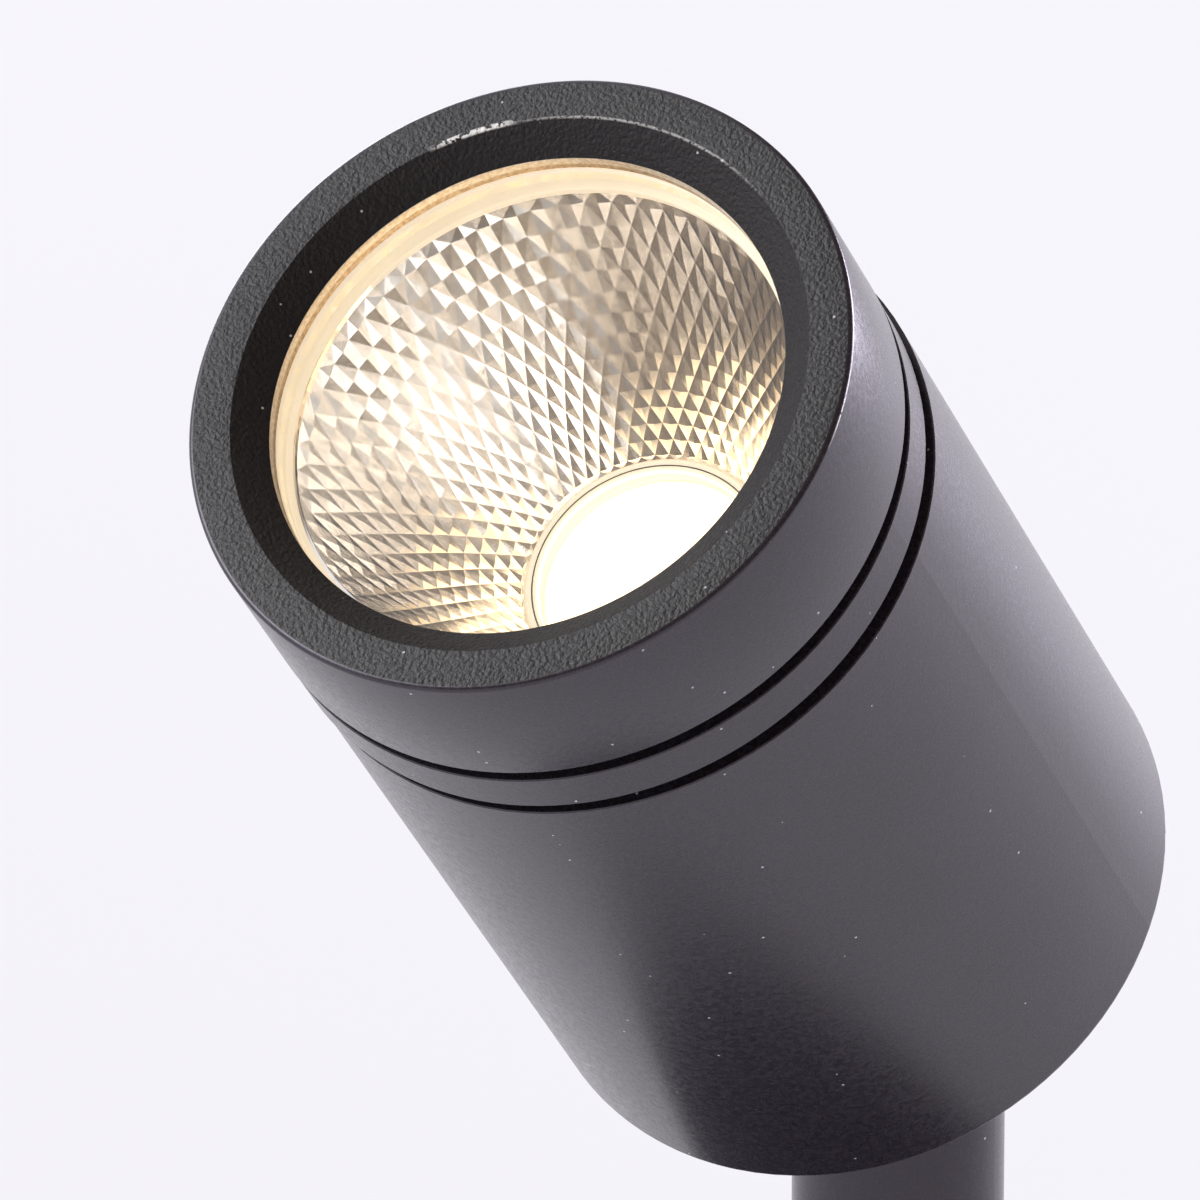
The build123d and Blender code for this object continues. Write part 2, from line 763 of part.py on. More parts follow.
# Pivot screw and its spring washer: the screw turns free in the head half and grips
# the stem half
washer_seat = knuckle_width - counterbore_depth + running_clearance
screw_seat = washer_seat + pivot_washer_thickness
with BuildPart() as pivot_screw:
    with BuildSketch(tilt_plane.offset(-pivot_screw_bite)):
        Circle(pivot_screw_radius)
    extrude(amount=pivot_screw_bite + screw_seat)
    with BuildSketch(tilt_plane.offset(screw_seat)):
        Circle(pivot_head_radius)
    extrude(amount=pivot_head_height)
    with BuildSketch(tilt_plane.offset(screw_seat + pivot_head_height)):
        RegularPolygon(pivot_socket_size / 2, 6, major_radius=False)
    extrude(amount=-pivot_socket_depth, mode=Mode.SUBTRACT)
save(pivot_screw.part, "pivot_screw")

with BuildPart() as pivot_washer:
    with BuildSketch(tilt_plane.offset(washer_seat)):
        Circle(pivot_head_radius)
        Circle(pivot_screw_radius + slip_clearance, mode=Mode.SUBTRACT)
    extrude(amount=pivot_washer_thickness)
save(pivot_washer.part, "pivot_washer")

# Stem tube, drilled at the rear for the set screw that holds the knuckle's plug
with BuildPart() as stem_tube:
    revolve(stem_ring(tube_bore, stem_radius, tube_bottom, tube_top), axis=Axis.Z)
    with BuildSketch(Plane.XZ.offset(-stem_radius)):
        with Locations((0, set_screw_height)):
            Circle(set_screw_radius + slip_clearance)
    extrude(amount=2 * stem_wall, mode=Mode.SUBTRACT)
save(stem_tube.part, "stem_tube")

with BuildPart() as stem_set_screw:
    with BuildSketch(Plane.XZ.offset(set_screw_sink - stem_radius)):
        with Locations((0, set_screw_height)):
            Circle(set_screw_radius)
    extrude(amount=set_screw_length)
    with BuildSketch(Plane.XZ.offset(set_screw_sink - stem_radius)):
        with Locations((0, set_screw_height)):
            RegularPolygon(set_screw_socket / 2, 6, major_radius=False)
    extrude(amount=slot_depth, mode=Mode.SUBTRACT)
save(stem_set_screw.part, "stem_set_screw")

# Stem foot: a collar on the canopy, a plug in the tube and a hollow threaded shank
with BuildPart() as stem_foot:
    with BuildSketch(stem_section):
        with BuildLine():
            Polyline(
                (shank_bore, shank_end),
                (shank_radius, shank_end),
                (shank_radius, foot_bottom),
                (swivel_seal_inner, foot_bottom),
                (swivel_seal_inner, foot_bottom + swivel_seal_depth),
                (swivel_seal_outer, foot_bottom + swivel_seal_depth),
                (swivel_seal_outer, foot_bottom),
                (foot_radius, foot_bottom),
                (foot_radius, tube_bottom - foot_edge),
                (foot_radius - foot_edge, tube_bottom),
                (tube_bore - running_clearance, tube_bottom),
                (tube_bore - running_clearance, tube_bottom + foot_plug_length),
                (shank_bore, tube_bottom + foot_plug_length),
                close=True,
            )
        make_face()
    revolve(axis=Axis.Z)
save(stem_foot.part, "stem_foot")

# Swivel seal in the foot's groove, just clear of the canopy
with BuildPart() as swivel_seal:
    swivel_seal_face = stem_ring(
        swivel_seal_inner + running_clearance,
        swivel_seal_outer - running_clearance,
        canopy_top + running_clearance,
        foot_bottom + swivel_seal_depth,
    )
    revolve(swivel_seal_face, axis=Axis.Z)
save(swivel_seal.part, "swivel_seal")

# Friction washer, stop washer with its lug, and nut, under the canopy's top
with BuildPart() as friction_washer:
    friction_face = stem_ring(
        shank_radius + slip_clearance,
        friction_washer_radius,
        stop_washer_top,
        friction_washer_top,
    )
    revolve(friction_face, axis=Axis.Z)
save(friction_washer.part, "friction_washer")

with BuildPart() as stop_washer:
    with BuildSketch(Plane.XY.offset(swivel_nut_top)):
        Circle(stop_washer_radius)
        with Locations((0, -stop_lug_reach / 2)):
            Rectangle(stop_lug_width, stop_lug_reach)
        Circle(shank_radius + thread_clearance, mode=Mode.SUBTRACT)
    extrude(amount=stop_washer_thickness)
save(stop_washer.part, "stop_washer")

with BuildPart() as swivel_nut:
    with BuildSketch(Plane.XY.offset(swivel_nut_top)):
        RegularPolygon(swivel_nut_width / 2, 6, major_radius=False)
        Circle(shank_radius + thread_clearance, mode=Mode.SUBTRACT)
    extrude(amount=-swivel_nut_height)
save(swivel_nut.part, "swivel_nut")

# Canopy: a round cover with a rounded top edge, a hole for the shank, two side holes
# for its screws and a blind hole for the stop pin
with BuildPart() as canopy:
    with BuildSketch(Plane.XY.offset(gasket_thickness)):
        Circle(canopy_radius)
    extrude(amount=canopy_top - gasket_thickness)
    fillet(canopy.edges().sort_by(Axis.Z)[-1], canopy_edge_radius)
    with BuildSketch(Plane.XY.offset(gasket_thickness)):
        Circle(canopy_bore)
    extrude(amount=canopy_underside - gasket_thickness, mode=Mode.SUBTRACT)
    with BuildSketch(Plane.XY.offset(canopy_underside)):
        Circle(shank_radius + running_clearance)
    extrude(amount=canopy_top_wall, mode=Mode.SUBTRACT)
    with BuildSketch(Plane.XY.offset(canopy_underside)):
        with Locations((0, stop_pin_ring)):
            Circle(stop_pin_radius + thread_clearance)
    extrude(amount=stop_pin_grip, mode=Mode.SUBTRACT)
    with BuildSketch(Plane.XZ.offset(-canopy_radius)):
        with Locations((0, side_screw_height)):
            Circle(side_screw_radius + slip_clearance)
    extrude(amount=2 * canopy_radius, mode=Mode.SUBTRACT)
save(canopy.part, "canopy")

with BuildPart() as stop_pin:
    with BuildSketch(Plane.XY.offset(canopy_underside + stop_pin_grip)):
        with Locations((0, stop_pin_ring)):
            Circle(stop_pin_radius)
    extrude(amount=-stop_pin_length)
save(stop_pin.part, "stop_pin")

# Wall gasket under the canopy's rim
with BuildPart() as wall_gasket:
    revolve(stem_ring(canopy_bore, canopy_radius, 0, gasket_thickness), axis=Axis.Z)
save(wall_gasket.part, "wall_gasket")

# Mounting plate: a disc with an entry hole, two wall holes, an earth hole and two
# upright tabs that take the canopy's screws
tab_outside = sqrt((canopy_bore - plate_tab_gap) ** 2 - (plate_tab_width / 2) ** 2)
with BuildPart() as mounting_plate:
    with BuildSketch(Plane.XY):
        Circle(plate_radius)
        Rectangle(plate_tab_width, 2 * tab_outside)
    extrude(amount=plate_thickness)
    with BuildSketch(Plane.XY.offset(plate_thickness)):
        with Locations((0, tab_outside - plate_thickness / 2), (0, plate_thickness / 2 - tab_outside)):
            Rectangle(plate_tab_width, plate_thickness)
    extrude(amount=plate_tab_height - plate_thickness)
    with BuildSketch(Plane.XY):
        Circle(entry_radius)
        with Locations((-wall_hole_spacing / 2, 0), (wall_hole_spacing / 2, 0)):
            Circle(wall_hole_radius)
        with Locations((earth_screw_x, earth_screw_y)):
            Circle(earth_screw_radius + thread_clearance)
    extrude(amount=plate_thickness, mode=Mode.SUBTRACT)
    with BuildSketch(Plane.XZ.offset(-tab_outside)):
        with Locations((0, side_screw_height)):
            Circle(side_screw_radius + thread_clearance)
    extrude(amount=2 * tab_outside, mode=Mode.SUBTRACT)
save(mounting_plate.part, "mounting_plate")

# Canopy screws: two headless screws, one from each side
screw_outside = canopy_radius - side_screw_sink
with BuildPart() as canopy_screws:
    for screw_side in (1, -1):
        screw_centre = (0, screw_side * screw_outside, side_screw_height)
        screw_plane = Plane(origin=screw_centre, z_dir=(0, screw_side, 0))
        with BuildSketch(screw_plane):
            Circle(side_screw_radius)
        extrude(amount=-side_screw_length)
        with BuildSketch(screw_plane):
            RegularPolygon(side_screw_socket / 2, 6, major_radius=False)
        extrude(amount=-side_screw_socket_depth, mode=Mode.SUBTRACT)
save(canopy_screws.part, "canopy_screws")

# Entry grommet in the plate's hole
grommet_top = plate_thickness + grommet_flange_height
grommet_slope = grommet_flange_height / 2
with BuildPart() as entry_grommet:
    with BuildSketch(stem_section):
        with BuildLine():
            Polyline(
                (grommet_bore, grommet_lift),
                (entry_radius - running_clearance, grommet_lift),
                (entry_radius - running_clearance, plate_thickness),
                (grommet_flange_radius, plate_thickness),
                (grommet_flange_radius, grommet_top - grommet_slope),
                (grommet_flange_radius - grommet_slope, grommet_top),
                (grommet_bore, grommet_top),
                close=True,
            )
        make_face()
    revolve(axis=Axis.Z)
save(entry_grommet.part, "entry_grommet")

# Terminal block with a screw and a wire hole for each pole, and its screws
terminal_middle = terminal_start + terminal_length / 2
terminal_top = plate_thickness + terminal_height
pole_places = [(pole - (terminal_poles - 1) / 2) * terminal_pitch for pole in range(terminal_poles)]
with BuildPart() as terminal_block:
    with BuildSketch(Plane.XY.offset(plate_thickness)):
        with Locations((terminal_middle, 0)):
            Rectangle(terminal_length, terminal_width)
    extrude(amount=terminal_height)
    chamfer(terminal_block.faces().sort_by(Axis.Z)[-1].edges(), terminal_edge)
    with BuildSketch(Plane.XY.offset(terminal_top)):
        with Locations(*[(terminal_middle, place) for place in pole_places]):
            Circle(terminal_screw_radius + slip_clearance)
    extrude(amount=-terminal_screw_depth, mode=Mode.SUBTRACT)
    with BuildSketch(Plane.YZ.offset(terminal_start + terminal_length)):
        with Locations(*[(place, plate_thickness + terminal_wire_height) for place in pole_places]):
            Circle(terminal_wire_radius)
    extrude(amount=-terminal_wire_depth, mode=Mode.SUBTRACT)
save(terminal_block.part, "terminal_block")

with BuildPart() as terminal_screws:
    with BuildSketch(Plane.XY.offset(terminal_top - terminal_screw_depth)):
        with Locations(*[(terminal_middle, place) for place in pole_places]):
            Circle(terminal_screw_radius)
    extrude(amount=terminal_screw_depth - terminal_screw_sink)
    with BuildSketch(Plane.XY.offset(terminal_top - terminal_screw_sink)):
        with Locations(*[(terminal_middle, place) for place in pole_places]):
            Rectangle(2 * terminal_screw_radius, slot_width)
    extrude(amount=-slot_depth, mode=Mode.SUBTRACT)
save(terminal_screws.part, "terminal_screws")

# Earth screw with its washer, in the mounting plate
with BuildPart() as earth_washer:
    with BuildSketch(Plane.XY.offset(plate_thickness)):
        with Locations((earth_screw_x, earth_screw_y)):
            Circle(earth_washer_radius)
            Circle(earth_screw_radius + slip_clearance, mode=Mode.SUBTRACT)
    extrude(amount=earth_washer_thickness)
save(earth_washer.part, "earth_washer")

earth_seat = plate_thickness + earth_washer_thickness
with BuildPart() as earth_screw:
    with BuildSketch(Plane.XY.offset(grommet_lift)):
        with Locations((earth_screw_x, earth_screw_y)):
            Circle(earth_screw_radius)
    extrude(amount=earth_seat - grommet_lift)
    with BuildSketch(Plane.XY.offset(earth_seat)):
        with Locations((earth_screw_x, earth_screw_y)):
            Circle(earth_head_radius)
    extrude(amount=earth_head_height)
    fillet(earth_screw.edges().sort_by(Axis.Z)[-1], earth_head_edge)
    with BuildSketch(Plane.XY.offset(earth_seat + earth_head_height)):
        with Locations((earth_screw_x, earth_screw_y)):
            Rectangle(2 * earth_head_radius, slot_width)
    extrude(amount=-slot_depth, mode=Mode.SUBTRACT)
save(earth_screw.part, "earth_screw")

# Supply cable, in three stretches that stop at the two joints: in the head from the
# circuit to the knuckle, in the stem from the knuckle to the shank's end, and in the
# base from the shank's end to the terminal block
cable_stop = channel_radius - cable_radius / 2
cable_on_board = cable_radius + running_clearance - circuit_offset
cable_risen = spigot_end - head_cable_lead
cable_lifted = cable_risen - head_cable_rise
head_cable_points = [
    in_head(cable_shift, cable_on_board, cable_lifted - head_cable_run),
    in_head(cable_shift, cable_on_board, cable_lifted),
    in_head(cable_shift, 0, cable_risen),
    in_head(cable_shift, 0, front_reach - cable_stop),
]
save(tube_along(head_cable_points, head_cable_bend, cable_radius), "head_cable")

plug_end = tube_top - plug_length
stem_cable_points = [
    Vector(-cable_shift, 0, pivot_height - cable_stop),
    Vector(-cable_shift, 0, plug_end - stem_cable_lead),
    Vector(0, 0, plug_end - stem_cable_lead - stem_cable_run),
    Vector(0, 0, shank_end),
]
save(tube_along(stem_cable_points, stem_cable_bend, cable_radius), "stem_cable")

base_cable_points = [
    Vector(0, 0, shank_end - loose_clearance),
    Vector(0, 0, base_cable_height),
    Vector(terminal_start - running_clearance, 0, base_cable_height),
]
save(tube_along(base_cable_points, base_cable_bend, cable_radius), "base_cable")
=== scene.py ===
import math
import bmesh
import bpy
from mathutils import Matrix, Vector


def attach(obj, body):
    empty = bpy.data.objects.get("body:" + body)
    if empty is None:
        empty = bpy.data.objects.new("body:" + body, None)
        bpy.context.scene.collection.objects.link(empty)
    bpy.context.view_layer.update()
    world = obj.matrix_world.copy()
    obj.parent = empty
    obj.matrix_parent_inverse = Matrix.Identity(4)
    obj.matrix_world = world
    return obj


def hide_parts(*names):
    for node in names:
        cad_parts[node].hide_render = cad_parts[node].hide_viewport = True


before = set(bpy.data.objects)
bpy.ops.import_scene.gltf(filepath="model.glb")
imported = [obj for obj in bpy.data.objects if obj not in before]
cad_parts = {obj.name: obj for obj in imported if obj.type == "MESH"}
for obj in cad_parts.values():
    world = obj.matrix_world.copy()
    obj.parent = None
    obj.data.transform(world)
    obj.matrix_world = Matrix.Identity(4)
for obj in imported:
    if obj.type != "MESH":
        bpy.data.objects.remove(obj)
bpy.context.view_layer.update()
scene = bpy.context.scene
scene.view_settings.view_transform = "Standard"
mm = 0.001

# The camera stands to the right of the lamp's front, a little above its head, and
# looks down on it through a long lens, so that the head fills the frame and the foot
# of the stem is cut off by the frame's lower edge.
CAMERA_PLACE = (0.544427, -1.152213, 0.544483)
CAMERA_FALL = 18
CAMERA_TURN = 26.565
camera_data = bpy.data.cameras.new("camera")
camera_data.lens = 428.2
camera_data.sensor_width = 36.0
camera = bpy.data.objects.new("camera", camera_data)
camera.location = CAMERA_PLACE
camera.rotation_euler = (math.radians(90 - CAMERA_FALL), 0, math.radians(CAMERA_TURN))
scene.collection.objects.link(camera)
scene.camera = camera

# The floor is a wide sheet of pale paper. The camera sees mostly its own colour, with
# a share of real light left in, so that the lamp's shadow still falls on it. Mirrors
# and clear glass see it as white.
PAPER = (0.905, 0.896, 0.944)
PAPER_LIGHT = (0.885, 0.874, 0.922)
PAPER_WHITE = 1.10
PAPER_GLOW = 0.90
FLOOR_SIZE = 8.0
FLOOR_DROP = 0.2 * mm


def link(tree, source, target):
    """Joins one node's output to another's input."""
    tree.links.new(source, target)


def worked(tree, operation, *values):
    """The result of one sum on numbers or outputs."""
    sum_node = tree.nodes.new("ShaderNodeMath")
    sum_node.operation = operation
    for socket, value in zip(sum_node.inputs, values):
        if isinstance(value, (int, float)):
            socket.default_value = value
        else:
            link(tree, value, socket)
    return sum_node.outputs[0]


def between(tree, value, low, high, to_low, to_high):
    """Spreads a value between two others."""
    ramp = tree.nodes.new("ShaderNodeMapRange")
    for socket, number in zip(ramp.inputs[1:5], (low, high, to_low, to_high)):
        socket.default_value = number
    link(tree, value, ramp.inputs["Value"])
    return ramp.outputs[0]


def seen_by_camera(tree):
    """One where a ray comes straight from the camera, and else nought."""
    return tree.nodes.new("ShaderNodeLightPath").outputs["Is Camera Ray"]


def seen_directly(tree):
    """One where a ray comes from the camera, a mirror or clear glass, and else nought."""
    path = tree.nodes.new("ShaderNodeLightPath")
    seen = path.outputs["Is Camera Ray"]
    for name in ("Is Glossy Ray", "Is Transmission Ray"):
        seen = worked(tree, "MAXIMUM", seen, path.outputs[name])
    return seen


def show(tree, share, first, second, end):
    """Ends a tree in its first shader, and in the second one where the share rises."""
    mix = tree.nodes.new("ShaderNodeMixShader")
    for socket, source in zip(mix.inputs, (share, first, second)):
        link(tree, source, socket)
    link(tree, mix.outputs[0], tree.nodes.new(end).inputs[0])


paper = bpy.data.materials.new("pale_paper")
paper.use_nodes = True
tree = paper.node_tree
tree.nodes.clear()
matt = tree.nodes.new("ShaderNodeBsdfDiffuse")
matt.inputs["Color"].default_value = (*PAPER, 1)
glow = tree.nodes.new("ShaderNodeEmission")
glow.inputs["Color"].default_value = (*PAPER_LIGHT, 1)
link(tree, between(tree, seen_by_camera(tree), 0, 1, PAPER_WHITE, 1), glow.inputs["Strength"])
share = worked(tree, "MULTIPLY", seen_directly(tree), PAPER_GLOW)
show(tree, share, matt.outputs[0], glow.outputs[0], "ShaderNodeOutputMaterial")

floor_mesh = bpy.data.meshes.new("floor")
sheet = bmesh.new()
bmesh.ops.create_grid(sheet, x_segments=1, y_segments=1, size=FLOOR_SIZE / 2)
bmesh.ops.translate(sheet, vec=(0, 0, -FLOOR_DROP), verts=sheet.verts)
sheet.to_mesh(floor_mesh)
sheet.free()
floor_mesh.materials.append(paper)
floor = bpy.data.objects.new("floor", floor_mesh)
scene.collection.objects.link(floor)

# The room is a dim, warm tent with one bright, cool side, on the left. A soft box adds
# to it from the front left, and two low ones behind the lamp light its barrel's edges.
TENT_LOW = 0.19
TENT_HIGH = 1.20
TENT_WARM = (1.20, 0.95, 0.69)
TENT_COOL = (0.95, 0.985, 1.07)
TENT_SIDE = (-0.95, 0.08, 0.18)
TENT_EDGE = (0.34, 0.64)
HEAD_MIDDLE = (0, -0.05, 0.14)


def blended(tree, share, first, second):
    """A colour that goes from one to the other where the share rises."""
    blend = tree.nodes.new("ShaderNodeMix")
    blend.data_type = "RGBA"
    for socket, colour in ((blend.inputs[6], first), (blend.inputs[7], second)):
        if isinstance(colour, tuple):
            socket.default_value = (*colour, 1)
        else:
            link(tree, colour, socket)
    link(tree, share, blend.inputs["Factor"])
    return blend.outputs[2]


def soft_box(name, place, size, power, colour=(1, 1, 1)):
    """A square soft lamp that shines from a place at the lamp's head."""
    lamp_data = bpy.data.lights.new(name, "AREA")
    lamp_data.shape = "SQUARE"
    lamp_data.size = size
    lamp_data.energy = power
    lamp_data.color = colour
    lamp = bpy.data.objects.new(name, lamp_data)
    lamp.location = place
    aim = Vector(HEAD_MIDDLE) - Vector(place)
    lamp.rotation_euler = aim.to_track_quat("-Z", "Y").to_euler()
    lamp.visible_camera = False
    scene.collection.objects.link(lamp)


world = bpy.data.worlds.new("tent")
scene.world = world
world.use_nodes = True
tree = world.node_tree
tree.nodes.clear()
facing = tree.nodes.new("ShaderNodeVectorMath")
facing.operation = "DOT_PRODUCT"
facing.inputs[1].default_value = Vector(TENT_SIDE).normalized()
link(tree, tree.nodes.new("ShaderNodeTexCoord").outputs["Generated"], facing.inputs[0])
bright_side = between(tree, facing.outputs["Value"], *TENT_EDGE, 0, 1)
bright_side.node.interpolation_type = "SMOOTHSTEP"
dim_cloth = tuple(TENT_LOW * part for part in TENT_WARM)
bright_cloth = tuple(TENT_HIGH * part for part in TENT_COOL)
tent = tree.nodes.new("ShaderNodeBackground")
link(tree, blended(tree, bright_side, dim_cloth, bright_cloth), tent.inputs["Color"])
backdrop = tree.nodes.new("ShaderNodeBackground")
backdrop.inputs["Color"].default_value = (*PAPER, 1)
show(tree, seen_by_camera(tree), tent.outputs[0], backdrop.outputs[0], "ShaderNodeOutputWorld")

soft_box("key_box", (-0.738, -0.567, 0.771), size=0.60, power=6.4)
soft_box("right_back_box", (0.51, 0.90, 0.36), size=0.55, power=15.4, colour=(0.98, 0.93, 1.10))
soft_box("left_back_box", (-0.80, 0.68, 0.312), size=0.50, power=4.0)

# The wall gasket is a flat ring of closed-cell foam rubber. It lies under the cover's
# rim and keeps rain out of the wall.
NOISE_SPAN = (0.3, 0.7)
NOISE_CORE = (0.35, 0.65)
RUBBER_GRAIN = 900
FOAM_GRAIN = 2600
RUBBER_RELIEF = 0.05 * mm


def surface(name, roughness, metallic=0.0):
    """A new material, with the tree and the shader that the rest of it feeds."""
    material = bpy.data.materials.new(name)
    material.use_nodes = True
    tree = material.node_tree
    shader = tree.nodes["Principled BSDF"]
    shader.inputs["Roughness"].default_value = roughness
    shader.inputs["Metallic"].default_value = metallic
    return material, tree, shader


def grain(tree, scale, detail=2.0):
    """Noise through the piece, with grains of 1 / scale metres."""
    noise = tree.nodes.new("ShaderNodeTexNoise")
    noise.inputs["Scale"].default_value = scale
    noise.inputs["Detail"].default_value = detail
    link(tree, tree.nodes.new("ShaderNodeTexCoord").outputs["Object"], noise.inputs["Vector"])
    return noise.outputs["Fac"]


def raised(tree, shader, height, depth):
    """Lets a value stand out of the surface by so many metres."""
    bump = tree.nodes.new("ShaderNodeBump")
    bump.inputs["Distance"].default_value = depth
    bump.inputs["Strength"].default_value = 1.0
    link(tree, height, bump.inputs["Height"])
    link(tree, bump.outputs[0], shader.inputs["Normal"])


def rubber(name, dark, light, scale=RUBBER_GRAIN):
    """Matt rubber with a fine moulded skin."""
    material, tree, shader = surface(name, roughness=0.75)
    pores = grain(tree, scale)
    colour = blended(tree, between(tree, pores, *NOISE_CORE, 0, 1), dark, light)
    link(tree, colour, shader.inputs["Base Color"])
    raised(tree, shader, pores, RUBBER_RELIEF)
    return material


def finish(material, *nodes):
    """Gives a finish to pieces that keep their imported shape."""
    for node in nodes:
        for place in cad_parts[node].material_slots:
            place.material = material


foam = rubber("foam_rubber", (0.010, 0.010, 0.011), (0.035, 0.035, 0.036), FOAM_GRAIN)
finish(foam, "wall_gasket")

# The mounting plate is punched from zinc-plated steel, with two tabs bent up for the
# cover's screws. It is screwed to the wall before the lamp goes on.
PLATE_GRAIN = 350
PLATE_POLISH = 0.08
PLATE_DULLNESS = 0.10


def plated(name, dark, light, roughness):
    """Metal with a cloudy plated or turned skin."""
    material, tree, shader = surface(name, roughness, metallic=1.0)
    cloud = grain(tree, PLATE_GRAIN, detail=4.0)
    colour = blended(tree, between(tree, cloud, *NOISE_SPAN, 0, 1), dark, light)
    link(tree, colour, shader.inputs["Base Color"])
    dull = (roughness - PLATE_POLISH, roughness + PLATE_DULLNESS)
    link(tree, between(tree, cloud, *NOISE_SPAN, *dull), shader.inputs["Roughness"])
    return material


zinc = plated("zinc_plated_steel", (0.50, 0.51, 0.53), (0.68, 0.69, 0.70), roughness=0.32)
finish(zinc, "mounting_plate", "stop_pin", "canopy_screws")

# The entry grommet is a soft rubber ring pushed into the plate's hole, where it keeps
# the supply cable off the plate's edge. The cable itself has a rubber sheath.
black_rubber = rubber("black_rubber", (0.012, 0.012, 0.013), (0.028, 0.028, 0.030))
finish(black_rubber, "entry_grommet", "base_cable")

# The terminal block is moulded in white plastic. Three brass screws clamp the supply
# wires, and a fourth one beside it, with a plated washer, takes the earth wire.
FLOW_GRAIN = 700
FLOW_RELIEF = 0.02 * mm


def moulded(name, dark, light, roughness=0.42):
    """Moulded plastic with a faint flow pattern and a fine skin."""
    material, tree, shader = surface(name, roughness)
    flow = grain(tree, FLOW_GRAIN, detail=3.0)
    link(tree, blended(tree, flow, dark, light), shader.inputs["Base Color"])
    raised(tree, shader, flow, FLOW_RELIEF)
    return material


white_plastic = moulded("white_plastic", (0.78, 0.78, 0.75), (0.86, 0.86, 0.84))
brass = plated("brass", (0.62, 0.44, 0.16), (0.80, 0.62, 0.28), roughness=0.30)
finish(white_plastic, "terminal_block")
finish(brass, "terminal_screws", "earth_screw")
finish(zinc, "earth_washer")

# The cover is die-cast aluminium with a satin charcoal powder coat, which has a faint
# violet cast and a fine sand texture. A few specks of pale dust lie on it.
COAT_DARK = (0.0172, 0.0152, 0.0200)
COAT_LIGHT = (0.0302, 0.0263, 0.0372)
COAT_TINT = (0.97, 0.90, 1.0)
COAT_GLOSS = 1.56
COAT_ROUGHNESS = 0.26
COAT_POLISH = 0.05
COAT_DULLNESS = 0.06
COAT_GRAIN = 1700
COAT_RELIEF = 0.012 * mm
CLOUD_GRAIN = 60
SAND_SHARE = 0.65
CLOUD_SHARE = 0.35
DUST = (0.60, 0.59, 0.63)
DUST_CELLS = 700
DUST_SHARE = 0.90
DUST_SIZE = 0.10
DUST_CORE = 0.07
DUST_STEP = 0.001


def dust_specks(tree):
    """One on a few small round specks that are spread over the piece, and else nought."""
    place = tree.nodes.new("ShaderNodeTexCoord")
    cells = tree.nodes.new("ShaderNodeTexVoronoi")
    cells.inputs["Scale"].default_value = DUST_CELLS
    link(tree, place.outputs["Object"], cells.inputs["Vector"])
    draw = tree.nodes.new("ShaderNodeSeparateColor")
    link(tree, cells.outputs["Color"], draw.inputs[0])
    few = between(tree, draw.outputs[0], DUST_SHARE, DUST_SHARE + DUST_STEP, 0, 1)
    small = between(tree, cells.outputs["Distance"], DUST_CORE, DUST_SIZE, 1, 0)
    return worked(tree, "MULTIPLY", few, small)


def powder_coat(
    name,
    relief=COAT_RELIEF,
    roughness=COAT_ROUGHNESS,
    scale=COAT_GRAIN,
    light=COAT_LIGHT,
    gloss=COAT_GLOSS,
    tint=COAT_TINT,
):
    """Sand-textured charcoal coat with a few specks of pale dust."""
    material, tree, shader = surface(name, roughness)
    shader.inputs["IOR"].default_value = gloss
    shader.inputs["Specular Tint"].default_value = (*tint, 1)
    sand = grain(tree, scale, detail=3.0)
    cloud = grain(tree, CLOUD_GRAIN, detail=3.0)
    cloud_tone = between(tree, cloud, *NOISE_SPAN, 0, CLOUD_SHARE)
    sand_tone = between(tree, sand, *NOISE_SPAN, 0, 1)
    tone = worked(tree, "MULTIPLY_ADD", sand_tone, SAND_SHARE, cloud_tone)
    colour = blended(tree, dust_specks(tree), blended(tree, tone, COAT_DARK, light), DUST)
    link(tree, colour, shader.inputs["Base Color"])
    dull = (roughness - COAT_POLISH, roughness + COAT_DULLNESS)
    link(tree, between(tree, sand, *NOISE_SPAN, *dull), shader.inputs["Roughness"])
    raised(tree, shader, sand, relief)
    return material, tree, shader, colour


coat = powder_coat("sand_coat")[0]
finish(coat, "canopy")

# The stem's foot is turned from aluminium and coated like the cover. Its hollow shank
# passes through the cover, and a rubber ring in the foot wipes the cover's top.
finish(coat, "stem_foot")
finish(black_rubber, "swivel_seal")

# Under the cover a nylon washer gives the swivel its drag. A steel washer with a lug
# meets the pin that stops the turn, and a thin nut holds them on the shank.
nylon = moulded("nylon", (0.70, 0.68, 0.60), (0.80, 0.79, 0.74), roughness=0.5)
finish(nylon, "friction_washer")
finish(zinc, "stop_washer", "swivel_nut")

# The stem is a drawn aluminium tube, coated like the cover. A small grub screw at the
# back holds the knuckle's plug, and the cable runs up inside.
finish(coat, "stem_tube")
finish(zinc, "stem_set_screw")
finish(black_rubber, "stem_cable")

# The knuckle is two cast half discs, face to face on one screw. A rubber ring between
# the faces keeps water out, and a spring washer under the screw's head sets the drag.
black_steel = plated(
    "black_oxide_steel", (0.035, 0.035, 0.038), (0.075, 0.075, 0.080), roughness=0.38
)
spring_steel = plated(
    "spring_steel", (0.20, 0.21, 0.24), (0.34, 0.35, 0.38), roughness=0.30
)
finish(coat, "stem_knuckle", "head_knuckle")
finish(black_rubber, "joint_seal", "knuckle_seal")
finish(black_steel, "pivot_screw")
finish(spring_steel, "pivot_washer")
finish(zinc, "knuckle_nut")

# The barrel is a thick cup turned from aluminium bar, coated outside. Inside, a white
# insulating sleeve holds the driver, and the cable comes in through the knuckle.
finish(coat, "barrel")
finish(white_plastic, "driver_sleeve")
finish(black_rubber, "head_cable")

